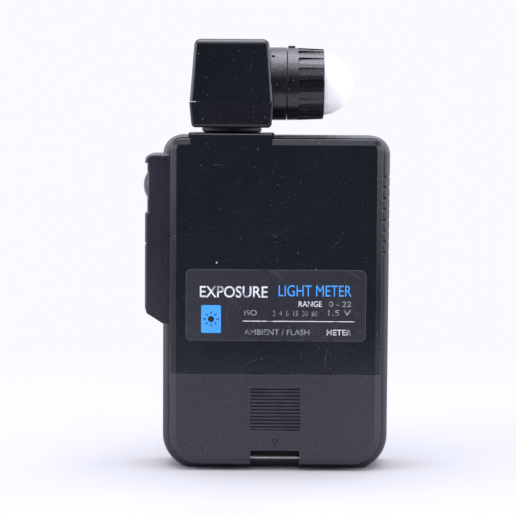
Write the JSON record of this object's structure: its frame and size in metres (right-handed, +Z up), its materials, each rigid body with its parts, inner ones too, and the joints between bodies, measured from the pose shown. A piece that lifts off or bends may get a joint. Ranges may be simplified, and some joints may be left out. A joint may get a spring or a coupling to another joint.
{
  "type": "handheld light meter",
  "caption": "Handheld exposure meter: flat case, swivelling head with white dome on a bayonet ring, slide-off battery door, side measuring button and flash cord socket.",
  "frame": {"origin": "centre of the case's flat foot, at mid depth of the case", "axes": "+Z up towards the head, +X to the right seen from behind, -Y out of the rear cover, +Y out of the display side"},
  "size_m": [0.0793, 0.0257, 0.1389],
  "materials": {
    "case_plastic": "fine grain, dark grey",
    "cover_plastic": "worn gloss, charcoal",
    "door_plastic": "fine grain, dark grey",
    "plate_print": "satin film with print",
    "head_plastic": "semi-gloss, charcoal",
    "ring_plastic": "fine grain, black",
    "dome_white": "translucent white",
    "inner_plastic": "moulded, black",
    "button_plastic": "satin, dark grey",
    "key_plastic": "satin, grey",
    "power_plastic": "satin, orange red",
    "window_clear": "clear, hard coated",
    "lcd_glass": "polarised, grey green",
    "board_green": "solder mask",
    "chip_black": "moulded epoxy",
    "silicone": "soft, grey",
    "foam": "closed-cell foam",
    "steel": "plated",
    "spring_steel": "nickel plated",
    "brass_metal": "turned",
    "black_steel": "blackened",
    "aluminium_black": "black anodised",
    "cell_jacket": "film jacket over steel",
    "cable_jacket": "soft jacket",
    "filter_glass": "colour filter glass"
  },
  "bodies": {
    "case": {"front_case": "case_plastic", "rear_cover": "cover_plastic", "name_plate": "plate_print", "battery_tray": "inner_plastic", "strap_bar": "steel", "battery_cell": "cell_jacket", "contact_plate": "spring_steel", "contact_spring": "spring_steel", "cover_screws": "steel", "tray_screws": "steel", "board_screws": "steel", "display_window": "window_clear", "lcd_panel": "lcd_glass", "lcd_frame": "inner_plastic", "contact_strips": "silicone", "keypad": "silicone", "main_board": "board_green", "processor_chip": "chip_black", "amplifier_chip": "chip_black", "clock_crystal": "spring_steel", "capacitors": "spring_steel", "measure_switch": "chip_black", "socket_barrel": "brass_metal", "socket_insulator": "inner_plastic", "socket_contact": "brass_metal", "board_cable": "cable_jacket", "swivel_bush": "brass_metal", "spring_washer": "spring_steel"},
    "head": {"head_cover": "head_plastic", "head_base": "head_plastic", "head_screws": "black_steel", "head_collar": "ring_plastic", "collar_nut": "aluminium_black", "sensor_holder": "inner_plastic", "colour_filter": "filter_glass", "photocell": "chip_black", "sensor_board": "board_green", "sensor_cable": "cable_jacket", "swivel_shaft": "aluminium_black", "stop_pin": "steel", "retaining_clip": "black_steel"},
    "dome": {"dome_ring": "ring_plastic", "diffuser_dome": "dome_white", "dome_retainer": "ring_plastic"},
    "door": {"battery_door": "door_plastic", "door_pad": "foam"},
    "button": {"measure_button": "button_plastic"},
    "up_cap": {"up_key": "key_plastic"},
    "down_cap": {"down_key": "key_plastic"},
    "mode_cap": {"mode_key": "key_plastic"},
    "iso_cap": {"iso_key": "key_plastic"},
    "memory_cap": {"memory_key": "key_plastic"},
    "power_cap": {"power_key": "power_plastic"}
  },
  "joints": [
    {"name": "head_swivel", "type": "hinge", "parent": "case", "child": "head", "pos_m": [-0.0145, 0, 0.10735], "axis": [0, 0, 1], "range_deg": [-90, 180]},
    {"name": "dome_turn", "type": "hinge", "parent": "head", "child": "dome", "pos_m": [0.008, 0, 0.12485], "axis": [1, 0, 0], "range_deg": [0, 30]},
    {"name": "door_slide", "type": "slide", "parent": "case", "child": "door", "axis": [0, 0, -1], "range_m": [0, 0.035]},
    {"name": "measure_press", "type": "slide", "parent": "case", "child": "button", "axis": [1, 0, 0], "range_m": [0, 0.0008], "stiffness_N_per_m": 1500},
    {"name": "up_press", "type": "slide", "parent": "case", "child": "up_cap", "axis": [0, -1, 0], "range_m": [0, 0.0006], "stiffness_N_per_m": 1500},
    {"name": "down_press", "type": "slide", "parent": "case", "child": "down_cap", "axis": [0, -1, 0], "range_m": [0, 0.0006], "stiffness_N_per_m": 1500},
    {"name": "mode_press", "type": "slide", "parent": "case", "child": "mode_cap", "axis": [0, -1, 0], "range_m": [0, 0.0006], "stiffness_N_per_m": 1500},
    {"name": "iso_press", "type": "slide", "parent": "case", "child": "iso_cap", "axis": [0, -1, 0], "range_m": [0, 0.0006], "stiffness_N_per_m": 1500},
    {"name": "memory_press", "type": "slide", "parent": "case", "child": "memory_cap", "axis": [0, -1, 0], "range_m": [0, 0.0006], "stiffness_N_per_m": 1500},
    {"name": "power_press", "type": "slide", "parent": "case", "child": "power_cap", "axis": [0, -1, 0], "range_m": [0, 0.0006], "stiffness_N_per_m": 1500}
  ]
}
